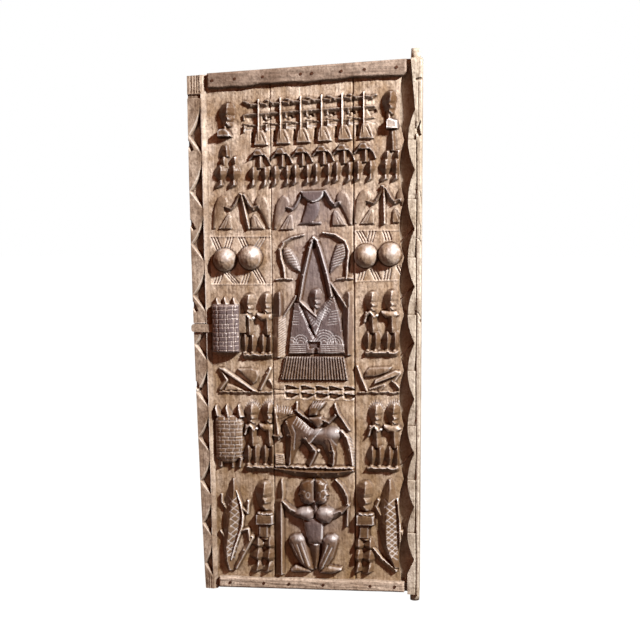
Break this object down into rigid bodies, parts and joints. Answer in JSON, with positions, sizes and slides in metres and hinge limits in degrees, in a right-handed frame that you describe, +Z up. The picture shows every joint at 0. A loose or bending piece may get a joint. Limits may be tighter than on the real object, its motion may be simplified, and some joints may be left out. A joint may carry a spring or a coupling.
{
  "type": "carved granary door",
  "caption": "Carved wooden door leaf of vertical planks in a scalloped frame, hung on turned pegs, with a raised wooden tumbler lock and sliding bolt.",
  "frame": {"origin": "axis of the lower hanging peg, at its shoulder", "axes": "+Z up the axis of the two pegs, +X towards the hinge side, carved front faces -Y"},
  "size_m": [0.713, 0.0736, 1.65],
  "materials": {
    "carved_wood": "weathered hand-cut hardwood, worn pale on the high places",
    "frame_wood": "weathered hand-cut hardwood",
    "lock_wood": "dark handled hardwood",
    "iron": "forged, rusted"
  },
  "bodies": {
    "leaf": {"plank_left": "carved_wood", "plank_centre": "carved_wood", "plank_right": "carved_wood", "hinge_stile": "frame_wood", "latch_stile": "frame_wood", "top_rail": "frame_wood", "bottom_rail": "frame_wood", "top_rail_nails": "iron", "bottom_rail_nails": "iron", "hinge_staples": "iron", "latch_staples": "iron", "lock_nails": "iron", "lock_body": "lock_wood"},
    "bolt": {"lock_bolt": "lock_wood"},
    "tumbler_left": {"lock_tumbler_left": "lock_wood"},
    "tumbler_right": {"lock_tumbler_right": "lock_wood"}
  },
  "joints": [
    {"name": "bolt_slide", "type": "slide", "parent": "leaf", "child": "bolt", "axis": [-1, 0, 0], "range_m": [0, 0.018]},
    {"name": "tumbler_left_lift", "type": "slide", "parent": "leaf", "child": "tumbler_left", "axis": [0, 0, 1], "range_m": [0, 0.004]},
    {"name": "tumbler_right_lift", "type": "slide", "parent": "leaf", "child": "tumbler_right", "axis": [0, 0, 1], "range_m": [0, 0.004]}
  ],
  "couplings": [
    {"joint": "tumbler_right_lift", "follows": "tumbler_left_lift", "ratio": 1}
  ]
}
